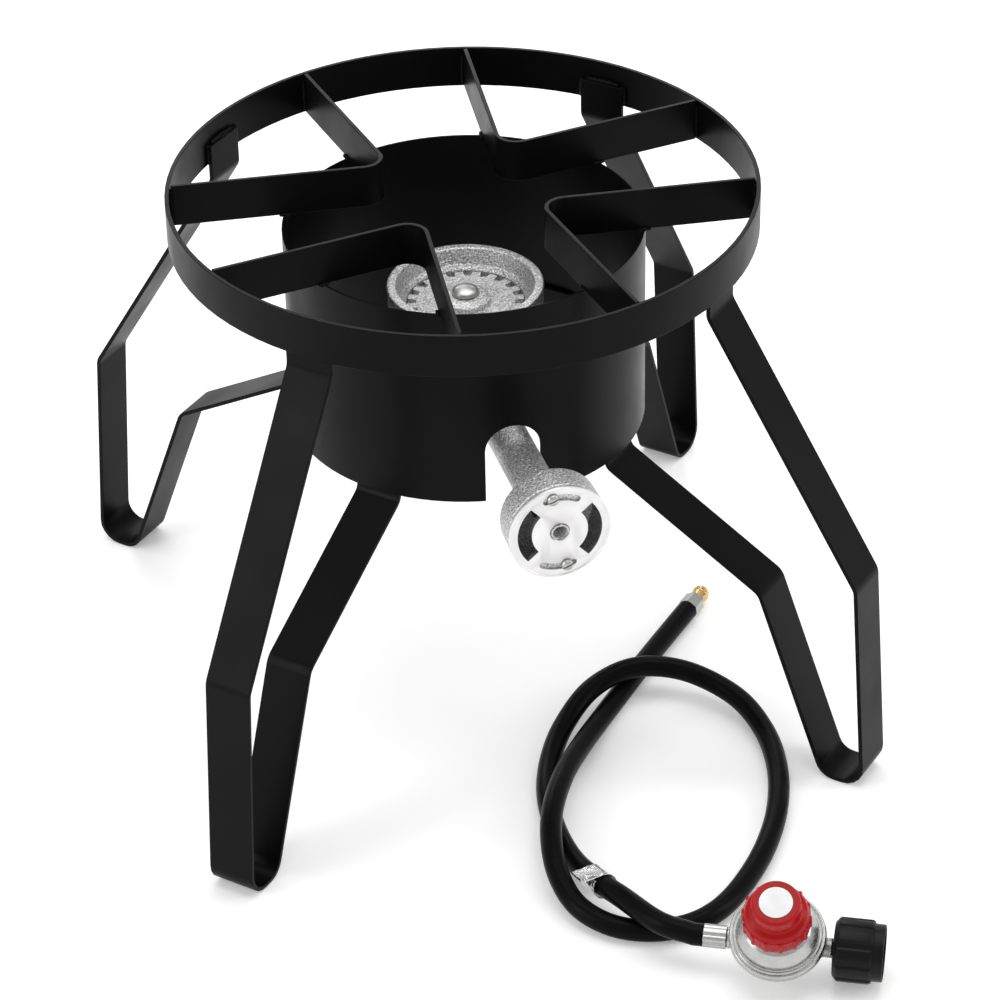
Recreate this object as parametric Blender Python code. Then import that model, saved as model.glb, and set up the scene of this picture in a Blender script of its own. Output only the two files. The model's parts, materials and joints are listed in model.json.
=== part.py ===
"""Outdoor propane burner stand with its hose and regulator kit, in metres, +Z up.

The origin is on the floor under the middle of the top ring.  -Y is the front, where the
burner's tube leaves the wind shroud.  The stand is flat steel bar on edge, the burner is one
casting on a cross strap, and the gas kit lies loose on the floor in front of the stand.
"""

import math

import bmesh
import bpy
from mathutils import Matrix, Vector

# --- driving dimensions -------------------------------------------------------------------
GAP = 0.0003                 # clearance between touching pieces
BAR_WIDTH = 0.030            # flat steel bar used for ring and pot supports
LEG_WIDTH = 0.0335           # the legs' bar is a little wider
BAR_THICK = 0.003

RING_RADIUS = 0.200
RING_TOP = 0.385
RING_INNER = RING_RADIUS - BAR_THICK
RING_BOTTOM = RING_TOP - BAR_WIDTH

LEG_AZIMUTHS = {"leg_back_right": 45, "leg_back_left": 135, "leg_front_left": 225, "leg_front_right": 315}
SUPPORT_TURN = 2.5           # degrees the pot supports sit round from the legs
SUPPORT_END_ANGLE = 27.5     # degrees from a support's middle line to its end on the ring
SUPPORT_ARM_ANGLE = 37.5     # degrees between a support's arm and its middle line
SUPPORT_NOSE_RADIUS = 0.0135

SHROUD_RADIUS = 0.1231
SHROUD_WALL = 0.0015
SHROUD_BOTTOM = 0.2085
SHROUD_TOP = RING_BOTTOM - GAP
SHROUD_INNER = SHROUD_RADIUS - SHROUD_WALL
SLOT_HALF_WIDTH = 0.019
SLOT_TOP = 0.266

BURNER_TURN = 1.4            # degrees the burner is turned on its bolt
TUBE_HEIGHT = 0.2423         # height of the venturi tube's axis
TUBE_RADIUS = 0.0137
TUBE_BORE = 0.0105
BELL_RADIUS = 0.0340
BELL_FRONT = 0.2168          # distance of the mixer bell's front face from the burner's axis
BELL_DEPTH = 0.028
WEB_THICK = 0.003
JET_HOLE_RADIUS = 0.0052
JET_BOSS_RADIUS = 0.0062     # the boss stands out through the shutter, which turns on it
JET_BOSS_FRONT = 0.2198
TUBE_START = 0.0200          # where the venturi tube meets the stub on the bowl's boss
TUBE_END = BELL_FRONT - BELL_DEPTH - 0.006
RIM_HEIGHT = 0.3065
RIM_RADIUS = 0.054
SEAT_HEIGHT = 0.2880         # ledge inside the bowl that carries the flame ring
BOSS_BOTTOM = 0.2262
BOLT_RADIUS = 0.0040

WINDOW_INNER = 0.0190        # air windows in the bell's web and in the shutter
WINDOW_OUTER = 0.0285
WINDOW_TURN = -3.5           # degrees
SHUTTER_WINDOW_SPAN = 88
WEB_WINDOW_SPAN = 92
SCREW_CIRCLE = 0.0265
SCREW_AZIMUTHS = (100, 280)
SHUTTER_RADIUS = 0.0345
SHUTTER_THICK = 0.0015

HOSE_RADIUS = 0.0075
HOSE_HEIGHT = 0.0080         # height of the hose's centreline where it lies on the floor
REGULATOR_CENTRE = Vector((0.0981, -0.4006, 0.0238))
REGULATOR_AZIMUTH = -25.0    # direction from the hose to the cylinder nut
REGULATOR_ROLL = 24.0        # degrees the knob leans to the front
REGULATOR_LIFT = 0.003       # how far the castings sit above the line from hose to nut
REGULATOR_HOSE_END = -0.0485 # where the hose stops, along the regulator's own axis
TIP_POINT = Vector((0.1590, -0.0112, HOSE_HEIGHT))
TIP_AZIMUTH = 47.0

# The hose's route on the floor, from the orifice fitting to the regulator.  It passes over
# itself three times, each time in a long low hump.
HOSE_ROUTE = [
    (0.1375, -0.0343, 0.0080), (0.1130, -0.0610, 0.0080), (0.0850, -0.0930, 0.0080),
    (0.0600, -0.1230, 0.0095), (0.0360, -0.1560, 0.0150), (0.0130, -0.1930, 0.0222),
    (-0.0050, -0.2300, 0.0240), (-0.0145, -0.2620, 0.0218), (-0.0170, -0.2900, 0.0165),
    (-0.0113, -0.3158, 0.0110), (0.0048, -0.3367, 0.0084), (0.0282, -0.3489, 0.0080),
    (0.0546, -0.3501, 0.0080), (0.0790, -0.3400, 0.0080), (0.1030, -0.3185, 0.0080),
    (0.1280, -0.2870, 0.0080), (0.1485, -0.2500, 0.0080), (0.1625, -0.2080, 0.0080),
    (0.1670, -0.1650, 0.0082), (0.1580, -0.1260, 0.0120), (0.1300, -0.0970, 0.0190),
    (0.0950, -0.0895, 0.0238), (0.0610, -0.1000, 0.0205), (0.0335, -0.1240, 0.0120),
    (0.0140, -0.1560, 0.0082), (0.0015, -0.1930, 0.0080), (-0.0030, -0.2310, 0.0080),
    (-0.0005, -0.2660, 0.0088), (0.0065, -0.2980, 0.0150), (0.0150, -0.3280, 0.0225),
    (0.0300, -0.3600, 0.0240),
]
HOSE_POINTS = 76
HOSE_STRAIGHT_END = 0.006
TAG_FRACTION = 0.905         # how far along the hose the foil tag is wrapped
TAG_LENGTH = 0.018


# --- materials ----------------------------------------------------------------------------
def material(name, color, roughness, metallic=0.0):
    mat = bpy.data.materials.new(name)
    mat.use_nodes = True
    mat.diffuse_color = (*color, 1)
    shader = mat.node_tree.nodes["Principled BSDF"]
    shader.inputs["Base Color"].default_value = (*color, 1)
    shader.inputs["Roughness"].default_value = roughness
    shader.inputs["Metallic"].default_value = metallic
    return mat


# --- shape helpers ------------------------------------------------------------------------
def polar(radius, degrees):
    angle = math.radians(degrees)
    return radius * math.cos(angle), radius * math.sin(angle)


def arc(radius, start, end, steps, centre=(0.0, 0.0)):
    """Points on an arc from start to end, in degrees, both ends included."""
    points = []
    for i in range(steps + 1):
        x, y = polar(radius, start + (end - start) * i / steps)
        points.append((centre[0] + x, centre[1] + y))
    return points


def circle(radius, steps, centre=(0.0, 0.0)):
    return arc(radius, 0, 360, steps, centre)[:-1]


def hexagon(flats, turn=0):
    radius = flats / 2 / math.cos(math.pi / 6)
    return [polar(radius, turn + 60 * i) for i in range(6)]


def round_corners(points, radii, steps=5):
    """A polyline with its inner corners replaced by arcs."""
    path = [Vector(points[0])]
    for before, corner, after, radius in zip(points, points[1:], points[2:], radii):
        corner = Vector(corner)
        back = (Vector(before) - corner).normalized()
        ahead = (Vector(after) - corner).normalized()
        half = back.angle(ahead) / 2
        start = corner + back * (radius / math.tan(half))
        end = corner + ahead * (radius / math.tan(half))
        centre = corner + (back + ahead).normalized() * (radius / math.sin(half))
        from_arm = start - centre
        turn = from_arm.angle_signed(end - centre)
        for i in range(steps + 1):
            path.append(centre + Matrix.Rotation(-turn * i / steps, 2) @ from_arm)
    path.append(Vector(points[-1]))
    return path


def strip_outline(path, thick):
    """The closed outline of a bar of even thickness that follows a path."""
    left, right = [], []
    for i, point in enumerate(path):
        into = (point - path[i - 1]).normalized() if i else None
        out = (path[i + 1] - point).normalized() if i + 1 < len(path) else None
        tangent = ((into or out) + (out or into)).normalized()
        normal = Vector((-tangent.y, tangent.x))
        stretch = 1 / max(normal.dot(Vector((-(out or into).y, (out or into).x))), 0.3)
        left.append(point + normal * (thick / 2 * stretch))
        right.append(point - normal * (thick / 2 * stretch))
    return left + right[::-1]


def catmull_rom(points, per_span):
    """A smooth curve through every point."""
    ends = [points[0] * 2 - points[1], *points, points[-1] * 2 - points[-2]]
    curve = []
    for a, b, c, d in zip(ends, ends[1:], ends[2:], ends[3:]):
        for i in range(per_span):
            t = i / per_span
            curve.append(0.5 * (2 * b + (c - a) * t + (2 * a - 5 * b + 4 * c - d) * t ** 2
                                + (3 * b - a - 3 * c + d) * t ** 3))
    curve.append(points[-1])
    return curve


def even_points(curve, count):
    """Points spaced evenly along a curve, its ends included."""
    lengths = [0.0]
    for a, b in zip(curve, curve[1:]):
        lengths.append(lengths[-1] + (b - a).length)
    points = []
    span = 0
    for i in range(count):
        target = lengths[-1] * i / (count - 1)
        while span < len(curve) - 2 and lengths[span + 1] < target:
            span += 1
        t = (target - lengths[span]) / (lengths[span + 1] - lengths[span])
        points.append(curve[span].lerp(curve[span + 1], min(t, 1.0)))
    return points


def add_object(name, bm, mat, parent=None, smooth=True):
    bmesh.ops.recalc_face_normals(bm, faces=bm.faces)
    mesh = bpy.data.meshes.new(name)
    bm.to_mesh(mesh)
    bm.free()
    mesh.materials.append(mat)
    obj = bpy.data.objects.new(name, mesh)
    bpy.context.scene.collection.objects.link(obj)
    obj.parent = parent
    if smooth:
        mesh.shade_smooth()
        mesh.set_sharp_from_angle(angle=math.radians(35))
    return obj


def prism(name, outline, bottom, top, mat, parent=None, holes=()):
    """An outline with holes, extruded along its own Z."""
    bm = bmesh.new()
    edges = []
    for loop in (outline, *holes):
        verts = [bm.verts.new((x, y, bottom)) for x, y in loop]
        edges += [bm.edges.new((a, b)) for a, b in zip(verts, verts[1:] + verts[:1])]
    bmesh.ops.triangle_fill(bm, edges=edges, use_beauty=True)
    base = bm.faces[:]
    raised = bmesh.ops.extrude_face_region(bm, geom=base, use_keep_orig=True)
    moved = [item for item in raised["geom"] if isinstance(item, bmesh.types.BMVert)]
    bmesh.ops.translate(bm, verts=moved, vec=(0, 0, top - bottom))
    return add_object(name, bm, mat, parent)


def lathe(name, profile, mat, parent=None, steps=32):
    """A profile of (radius, height) turned about its own Z; a closed loop gives a ring."""
    bm = bmesh.new()
    verts = [bm.verts.new((r, 0, z)) for r, z in profile]
    pairs = list(zip(verts, verts[1:]))
    if profile[0][0] > 0 or profile[-1][0] > 0:
        pairs.append((verts[-1], verts[0]))
    edges = [bm.edges.new(pair) for pair in pairs]
    bmesh.ops.spin(bm, geom=verts + edges, cent=(0, 0, 0), axis=(0, 0, 1), angle=math.tau,
                   steps=steps, use_merge=True)
    bmesh.ops.remove_doubles(bm, verts=bm.verts, dist=1e-6)
    return add_object(name, bm, mat, parent)


def tube_profile(inner, outer, bottom, top):
    return [(inner, bottom), (outer, bottom), (outer, top), (inner, top)]


def cut(target, tool, operation="DIFFERENCE"):
    """A Boolean with a tool that stays hidden."""
    tool.hide_render = True
    tool.display_type = "WIRE"
    modifier = target.modifiers.new(tool.name, "BOOLEAN")
    modifier.operation = operation
    modifier.solver = "EXACT"
    modifier.object = tool


def axis_frame(name, matrix):
    """An empty that a group of pieces is built on."""
    empty = bpy.data.objects.new(name, None)
    bpy.context.scene.collection.objects.link(empty)
    empty.matrix_world = matrix
    return empty


def frame_matrix(origin, x_axis, z_axis):
    y_axis = z_axis.cross(x_axis)
    turn = Matrix((x_axis, y_axis, z_axis)).transposed().to_4x4()
    return Matrix.Translation(origin) @ turn


# --- stand --------------------------------------------------------------------------------
def make_ring(black):
    lathe("top_ring", tube_profile(RING_INNER, RING_RADIUS, RING_BOTTOM, RING_TOP), black, steps=96)


def make_pot_supports(black):
    """Four V-shaped bars inside the ring, their noses towards the middle."""
    end_radius = RING_INNER - GAP - 0.0003
    end = Vector(polar(end_radius, SUPPORT_END_ANGLE))
    nose = Vector((end.x - end.y / math.tan(math.radians(SUPPORT_ARM_ANGLE)), 0.0))
    mirrored = Vector((end.x, -end.y))
    path = round_corners([end, nose, mirrored], [SUPPORT_NOSE_RADIUS], steps=10)
    outline = strip_outline(path, BAR_THICK)
    for number, azimuth in enumerate(LEG_AZIMUTHS.values(), start=1):
        support = prism(f"pot_support_{number}", outline, RING_BOTTOM, RING_TOP, black)
        support.rotation_euler.z = math.radians(azimuth + SUPPORT_TURN)


def make_legs(black):
    """Each leg is one bar bent into a hairpin: ring, knee, foot, knee, shroud."""
    ring_face = math.sqrt((RING_INNER - GAP) ** 2 - (LEG_WIDTH / 2) ** 2) - BAR_THICK / 2
    shroud_face = math.sqrt((SHROUD_INNER - GAP) ** 2 - (LEG_WIDTH / 2) ** 2) - BAR_THICK / 2
    corners = [
        (ring_face, 0.3700), (ring_face, 0.3425), (0.3078, 0.1620), (0.3190, BAR_THICK / 2),
        (0.2885, BAR_THICK / 2), (0.2368, 0.1362), (shroud_face, 0.2030), (shroud_face, 0.2400),
    ]
    radii = [0.010, 0.012, 0.0145, 0.0130, 0.012, 0.008]
    outline = strip_outline(round_corners(corners, radii), BAR_THICK)
    for name, azimuth in LEG_AZIMUTHS.items():
        leg = prism(name, outline, -LEG_WIDTH / 2, LEG_WIDTH / 2, black)
        leg.rotation_euler = (math.radians(90), 0, math.radians(azimuth))


def make_shroud(black):
    shroud = lathe("wind_shroud", tube_profile(SHROUD_INNER, SHROUD_RADIUS, SHROUD_BOTTOM, SHROUD_TOP),
                   black, steps=96)
    arch = arc(SLOT_HALF_WIDTH, 0, 180, 14, (0, SLOT_TOP - SLOT_HALF_WIDTH))
    outline = arch + [(-SLOT_HALF_WIDTH, SHROUD_BOTTOM - 0.01), (SLOT_HALF_WIDTH, SHROUD_BOTTOM - 0.01)]
    slot = prism("cutter_slot", outline, 0.10, 0.14, black)
    slot.rotation_euler.x = math.radians(90)
    cut(shroud, slot)


def make_strap(black):
    """A bar across the shroud with turned-up ends; the burner is bolted to its middle."""
    width = 0.025
    level = BOSS_BOTTOM - GAP - BAR_THICK / 2
    reach = math.sqrt((SHROUD_INNER - GAP) ** 2 - (width / 2) ** 2) - BAR_THICK / 2
    corners = [(-reach, 0.240), (-reach, level), (reach, level), (reach, 0.240)]
    outline = strip_outline(round_corners(corners, [0.006, 0.006], steps=4), BAR_THICK)
    strap = prism("burner_strap", outline, -width / 2, width / 2, black)
    strap.rotation_euler.x = math.radians(90)
    cut(strap, lathe("cutter_strap_hole", [(0, level - 0.01), (BOLT_RADIUS + 0.0005, level - 0.01),
                                           (BOLT_RADIUS + 0.0005, level + 0.01), (0, level + 0.01)],
                     black, steps=24))


# --- burner -------------------------------------------------------------------------------
def window_outline(middle, span, grow=0.0):
    start, end = middle - span / 2, middle + span / 2
    outer = arc(WINDOW_OUTER + grow, start, end, 12)
    inner = arc(WINDOW_INNER - grow, end, start, 10)
    return outer + inner


def plug(name, radius, bottom, top, mat, parent, centre=(0.0, 0.0), steps=24):
    return prism(name, circle(radius, steps, centre), bottom, top, mat, parent)


def make_bowl(cast, burner, tube):
    """The bowl and its boss, with the elbow that the venturi tube opens into."""
    rim_edge = 0.0012
    profile = [
        (0, BOSS_BOTTOM), (0.0150, BOSS_BOTTOM), (0.0178, 0.2290), (0.0178, 0.2555), (0.0260, 0.2605),
        (0.0430, 0.2632), (0.0500, 0.2690), (0.0528, 0.2780), (RIM_RADIUS, RIM_HEIGHT - rim_edge),
        (RIM_RADIUS - rim_edge, RIM_HEIGHT), (RIM_RADIUS - 0.0052, RIM_HEIGHT),
        (RIM_RADIUS - 0.0062, RIM_HEIGHT - rim_edge), (0.0440, 0.2960), (0.0406, 0.2925),
        (0.0406, SEAT_HEIGHT), (0.0360, SEAT_HEIGHT), (0.0350, 0.2720), (0.0320, 0.2685), (0, 0.2685),
    ]
    bowl = lathe("burner_bowl", profile, cast, burner, steps=36)
    cut(bowl, plug("cutter_tube_stub", TUBE_RADIUS, 0, TUBE_START, cast, tube, steps=32), "UNION")
    cut(bowl, plug("cutter_elbow", TUBE_BORE, -0.005, TUBE_START + 0.002, cast, tube))
    cut(bowl, plug("cutter_throat", 0.0120, 0.2325, 0.2700, cast, burner))
    cut(bowl, plug("cutter_bolt_hole", BOLT_RADIUS + 0.0004, 0.2200, 0.2350, cast, burner))


def make_venturi_tube(cast, tube):
    prism("venturi_tube", circle(TUBE_RADIUS, 32), TUBE_START + GAP, TUBE_END - GAP, cast, tube,
          holes=[circle(TUBE_BORE, 24)])


def make_mixer(cast, tube):
    """The bell where gas and air mix, the web across its mouth, and the jet boss in the web."""
    back = BELL_FRONT - BELL_DEPTH
    inner = BELL_RADIUS - 0.004
    bell = [
        (TUBE_BORE, TUBE_END), (TUBE_RADIUS, TUBE_END), (TUBE_RADIUS, back - 0.003),
        (TUBE_RADIUS + 0.0025, back), (BELL_RADIUS - 0.006, back + 0.0005),
        (BELL_RADIUS - 0.0015, back + 0.0045), (BELL_RADIUS, back + 0.010), (BELL_RADIUS, BELL_FRONT),
        (inner, BELL_FRONT), (inner, back + 0.010), (inner - 0.001, back + 0.0060), (TUBE_BORE, back),
    ]
    lathe("mixer_bell", bell, cast, tube, steps=32)
    web_back = BELL_FRONT - WEB_THICK
    half = WEB_WINDOW_SPAN / 2
    outline = []
    for side in (0, 180):
        window = WINDOW_TURN + side
        outline += arc(WINDOW_INNER - 0.0004, window - half, window + half, 8)
        outline += arc(inner - GAP, window + half, window + 180 - half, 8)
    holes = [circle(JET_BOSS_RADIUS + 0.0004, 24)]
    holes += [circle(0.0020, 16, polar(SCREW_CIRCLE, azimuth)) for azimuth in SCREW_AZIMUTHS]
    prism("mixer_web", outline, web_back, BELL_FRONT, cast, tube, holes=holes)
    boss_back = BELL_FRONT - 0.011
    boss = [
        (JET_HOLE_RADIUS, boss_back), (0.0095, boss_back), (0.0095, web_back - GAP),
        (JET_BOSS_RADIUS, web_back - GAP), (JET_BOSS_RADIUS, JET_BOSS_FRONT), (JET_HOLE_RADIUS, JET_BOSS_FRONT),
    ]
    lathe("jet_boss", boss, cast, tube, steps=24)


def make_flame_ring(cast, burner):
    """A notched disc on the bowl's ledge; the gas burns where its notches open."""
    notches = 20
    outer, root = 0.0402, 0.0340
    pitch = 360 / notches
    outline = []
    for i in range(notches):
        middle = i * pitch
        outline += arc(outer, middle + pitch * 0.27, middle + pitch * 0.73, 2)
        outline += arc(root, middle + pitch * 0.80, middle + pitch * 1.20, 1)
    bottom = SEAT_HEIGHT + GAP
    top = bottom + 0.0042
    hole = circle(BOLT_RADIUS + 0.0004, 24)
    ring = prism("flame_ring", outline, bottom, top, cast, burner, holes=[hole])
    dome = [(BOLT_RADIUS + 0.0004, top - 0.002), (0.0180, top - 0.002), (0.0170, top + 0.0030),
            (0.0125, top + 0.0055), (BOLT_RADIUS + 0.0004, top + 0.0060)]
    cut(ring, lathe("cutter_flame_dome", dome, cast, burner, steps=24), "UNION")


def make_burner_bolt(steel, burner):
    """The long bolt that holds flame ring, casting and strap together, with washer and nut."""
    head = SEAT_HEIGHT + GAP + 0.0042 + 0.0060 + GAP
    dome = arc(0.0090, 0, 90, 6)
    profile = [(0, 0.2115), (BOLT_RADIUS, 0.2115), (BOLT_RADIUS, head), (0.0095, head), (0.0095, head + 0.001)]
    profile += [(r * 1.05, head + 0.001 + z * 0.45) for r, z in dome[1:-1]]
    profile.append((0, head + 0.001 + 0.0090 * 0.45))
    lathe("burner_bolt", profile, steel, burner, steps=24)
    strap_bottom = BOSS_BOTTOM - GAP - BAR_THICK
    washer_bottom = strap_bottom - GAP - 0.0016
    lathe("burner_washer", tube_profile(BOLT_RADIUS + GAP, 0.0085, washer_bottom, strap_bottom - GAP),
          steel, burner, steps=24)
    nut_top = washer_bottom - GAP
    prism("burner_nut", hexagon(0.013), nut_top - 0.0060, nut_top, steel, burner,
          holes=[circle(BOLT_RADIUS + GAP, 18)])


def make_air_shutter(zinc, tube):
    """The disc that turns on the bell's face and narrows the two air windows."""
    back = BELL_FRONT + GAP
    holes = [circle(0.0066, 24)]
    for side in (0, 180):
        holes.append(window_outline(WINDOW_TURN + side, SHUTTER_WINDOW_SPAN))
    half_width, half_span = 0.0023, 23
    for side in (90, 270):
        middle = WINDOW_TURN + side
        start, end = middle - half_span, middle + half_span
        slot = arc(SCREW_CIRCLE + half_width, start, end, 8)
        slot += arc(half_width, end, end + 180, 4, polar(SCREW_CIRCLE, end))[1:-1]
        slot += arc(SCREW_CIRCLE - half_width, end, start, 8)
        slot += arc(half_width, start + 180, start + 360, 4, polar(SCREW_CIRCLE, start))[1:-1]
        holes.append(slot)
    prism("air_shutter", circle(SHUTTER_RADIUS, 48), back, back + SHUTTER_THICK, zinc, tube, holes=holes)


def make_shutter_screws(steel, tube):
    under_head = BELL_FRONT + GAP + SHUTTER_THICK + GAP
    shank, head, height = 0.0017, 0.0040, 0.0024
    for number, azimuth in enumerate(SCREW_AZIMUTHS, start=1):
        profile = [(0, BELL_FRONT - 0.0025), (shank, BELL_FRONT - 0.0025), (shank, under_head), (head, under_head),
                   (head, under_head + height * 0.55), (head * 0.75, under_head + height), (0, under_head + height)]
        screw = lathe(f"shutter_screw_{number}", profile, steel, tube, steps=20)
        x, y = polar(SCREW_CIRCLE, azimuth)
        screw.location = (x, y, 0)
        driver = prism(f"cutter_driver_slot_{number}", [(-0.005, -0.0005), (0.005, -0.0005), (0.005, 0.0005),
                                                        (-0.005, 0.0005)],
                       under_head + height * 0.5, under_head + height + 0.001, steel, tube)
        driver.location = (x, y, 0)
        driver.rotation_euler.z = math.radians(20)
        cut(screw, driver)


# --- hose ---------------------------------------------------------------------------------
def hose_points(flow):
    """The hose's centreline: a straight end in each ferrule and a smooth route between them."""
    regulator_end = flow.matrix_world @ Vector((0, 0, REGULATOR_HOSE_END))
    straight_in = flow.matrix_world @ Vector((0, 0, REGULATOR_HOSE_END - HOSE_STRAIGHT_END))
    straight_out = TIP_POINT - Vector((*polar(HOSE_STRAIGHT_END, TIP_AZIMUTH), 0))
    route = [straight_out, *[Vector(point) for point in HOSE_ROUTE], straight_in]
    return [TIP_POINT, *even_points(catmull_rom(route, 12), HOSE_POINTS), regulator_end]


def make_hose(rubber, foil, points):
    data = bpy.data.curves.new("hose", "CURVE")
    data.dimensions = "3D"
    data.bevel_depth = HOSE_RADIUS
    data.bevel_resolution = 3
    data.use_fill_caps = True
    data.twist_mode = "Z_UP"
    spline = data.splines.new("POLY")
    spline.points.add(len(points) - 1)
    for slot, point in zip(spline.points, points):
        slot.co = (*point, 1)
    data.materials.append(rubber)
    bpy.context.scene.collection.objects.link(bpy.data.objects.new("hose", data))

    index = round(TAG_FRACTION * (len(points) - 1))
    along = (points[index + 1] - points[index - 1]).normalized()
    side = Vector((0, 0, 1)).cross(along).normalized()
    tag = axis_frame("tag_frame", frame_matrix(points[index], side, along))
    inner, outer = HOSE_RADIUS + 0.0011, HOSE_RADIUS + 0.0017
    reach = -0.0150          # the tag's flap lies level, over the strand beside it
    outline = [(reach, outer), (0, outer)] + arc(outer, 90, -225, 24)[1:]
    outline += arc(inner, -225, 90, 24) + [(reach, inner)]
    prism("hose_tag", outline, -TAG_LENGTH / 2, TAG_LENGTH / 2, foil, tag)


def make_orifice_end(brass, zinc):
    """The brass orifice fitting and the crimp ferrule on the hose's burner end."""
    along = Vector((*polar(1.0, TIP_AZIMUTH), 0))
    tip = axis_frame("tip_frame", frame_matrix(TIP_POINT, Vector((0, 0, 1)), along))
    ferrule_length = 0.0130
    prism("ferrule_burner_end", hexagon(0.0140, turn=0), GAP, ferrule_length, zinc, tip,
          holes=[circle(0.0045, 18)])
    start = ferrule_length + GAP
    profile = [
        (0.0021, 0.0030), (0.0041, 0.0030), (0.0041, start), (0.0058, start), (0.0058, start + 0.0020),
        (0.0049, start + 0.0026), (0.0049, start + 0.0056), (0.0061, start + 0.0066), (0.0062, start + 0.0100),
        (0.0050, start + 0.0124), (0.0030, start + 0.0132), (0.0006, start + 0.0132), (0.0006, start + 0.0100),
        (0.0021, start + 0.0085),
    ]
    lathe("orifice_fitting", profile, brass, tip, steps=20)


# --- regulator ----------------------------------------------------------------------------
def make_regulator_body(zinc, flow, upright):
    """The lower casting, with its outlet boss to the hose and its inlet boss to the cylinder."""
    bowl = [
        (0, -0.0135), (0.0120, -0.0135), (0.0165, -0.0110), (0.0205, -0.0030), (0.0295, 0.0045),
        (0.0295, 0.0075), (0, 0.0075),
    ]
    body = lathe("regulator_body", bowl, zinc, upright, steps=32)
    bosses = [(0, -0.0328), (0.0062, -0.0328), (0.0070, -0.0322), (0.0070, -0.0305), (0.0062, -0.0298),
              (0.0068, -0.0240), (0.0068, 0.0240), (0.0062, 0.0298), (0.0062, 0.0352), (0, 0.0352)]
    cut(body, lathe("cutter_bosses", bosses, zinc, flow, steps=20), "UNION")
    cavity = [(0, -0.0065), (0.0140, -0.0065), (0.0185, -0.0015), (0.0230, 0.0100), (0, 0.0100)]
    cut(body, lathe("cutter_lower_chamber", cavity, zinc, upright, steps=24))
    cut(body, plug("cutter_outlet", 0.0030, -0.0400, -0.0150, zinc, flow, steps=16))
    cut(body, plug("cutter_inlet", 0.0046, 0.0260, 0.0400, zinc, flow, steps=20))
    cut(body, plug("cutter_nozzle", 0.0014, 0.0150, 0.0300, zinc, flow, steps=12))


def make_bonnet(zinc, upright):
    """The upper casting, crimped over the diaphragm, with the neck that the knob turns on."""
    profile = [
        (0.0298, 0.0045), (0.0310, 0.0045), (0.0314, 0.0060), (0.0314, 0.0105), (0.0305, 0.0118),
        (0.0280, 0.0126), (0.0262, 0.0150), (0.0215, 0.0215), (0.0170, 0.0245), (0.0162, 0.0255),
        (0.0162, 0.0350), (0.0053, 0.0350), (0.0053, 0.0310), (0.0115, 0.0310), (0.0115, 0.0170),
        (0.0230, 0.0130), (0.0235, 0.0091), (0.0298, 0.0091),
    ]
    lathe("regulator_bonnet", profile, zinc, upright, steps=32)


def make_valve_parts(steel, brass, rubber, flow, upright):
    """What works inside the regulator: diaphragm, plate, spring, seat, lever and plunger."""
    lathe("diaphragm", [(0, 0.0078), (0.0290, 0.0078), (0.0290, 0.0088), (0, 0.0088)], rubber, upright, steps=28)
    lathe("diaphragm_plate", [(0, 0.0091), (0.0120, 0.0091), (0.0120, 0.0103), (0.0060, 0.0103),
                              (0.0055, 0.0135), (0, 0.0135)], steel, upright, steps=24)
    lathe("spring_seat", [(0, 0.0200), (0.0055, 0.0200), (0.0060, 0.0230), (0.0100, 0.0230), (0.0100, 0.0246),
                          (0, 0.0246)], steel, upright, steps=24)
    make_spring(steel, upright)
    lever = [(-0.0020, 0.0000), (0.0140, 0.0000), (0.0140, 0.0008), (-0.0012, 0.0008), (-0.0012, 0.0070),
             (-0.0020, 0.0070)]
    prism("valve_lever", lever, -0.0020, 0.0020, steel, upright).rotation_euler.x = math.radians(90)
    lathe("valve_plunger", [(0, 0.0085), (0.0008, 0.0085), (0.0008, 0.0120), (0.0022, 0.0120), (0.0022, 0.0146),
                            (0, 0.0146)], brass, flow, steps=16)


def make_spring(steel, upright):
    turns, radius, wire = 4.0, 0.0082, 0.0008
    bottom, top = 0.0103 + GAP + wire, 0.0230 - GAP - wire
    data = bpy.data.curves.new("adjusting_spring", "CURVE")
    data.dimensions = "3D"
    data.bevel_depth = wire
    data.bevel_resolution = 0
    data.use_fill_caps = True
    spline = data.splines.new("POLY")
    count = int(turns * 12)
    spline.points.add(count)
    for i, point in enumerate(spline.points):
        x, y = polar(radius, 360 * turns * i / count)
        point.co = (x, y, bottom + (top - bottom) * i / count, 1)
    data.materials.append(steel)
    spring = bpy.data.objects.new("adjusting_spring", data)
    bpy.context.scene.collection.objects.link(spring)
    spring.parent = upright


def make_knob(red, white, steel, upright):
    """The ribbed knob, its blank label and the screw that it turns."""
    ribs = 14
    skirt = []
    for i in range(ribs):
        middle = 360 * i / ribs
        skirt += arc(0.0225, middle - 7, middle + 7, 2)
        skirt += [polar(0.0214, middle + 9.5), polar(0.0214, middle + 360 / ribs - 9.5)]
    knob = prism("adjusting_knob", skirt, 0.0275, 0.0400, red, upright)
    cap = [(0, 0.0380), (0.0206, 0.0380), (0.0206, 0.0400), (0.0191, 0.0425), (0.0168, 0.0440),
           (0.0162, 0.0540), (0.0151, 0.0555), (0, 0.0555)]
    cut(knob, lathe("cutter_knob_cap", cap, red, upright, steps=28), "UNION")
    cut(knob, lathe("cutter_knob_inside", [(0, 0.0200), (0.0168, 0.0200), (0.0168, 0.0360), (0.0056, 0.0360),
                                           (0.0056, 0.0500), (0, 0.0500)], red, upright, steps=24))
    cut(knob, plug("cutter_label_recess", 0.0112, 0.0549, 0.0565, red, upright, steps=24))
    lathe("knob_label", [(0, 0.0552), (0.0108, 0.0552), (0.0108, 0.0557), (0, 0.0557)], white, upright, steps=24)
    lathe("adjusting_screw", [(0, 0.0290), (0.0035, 0.0290), (0.0050, 0.0300), (0.0050, 0.0480), (0, 0.0480)],
          steel, upright, steps=20)


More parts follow.
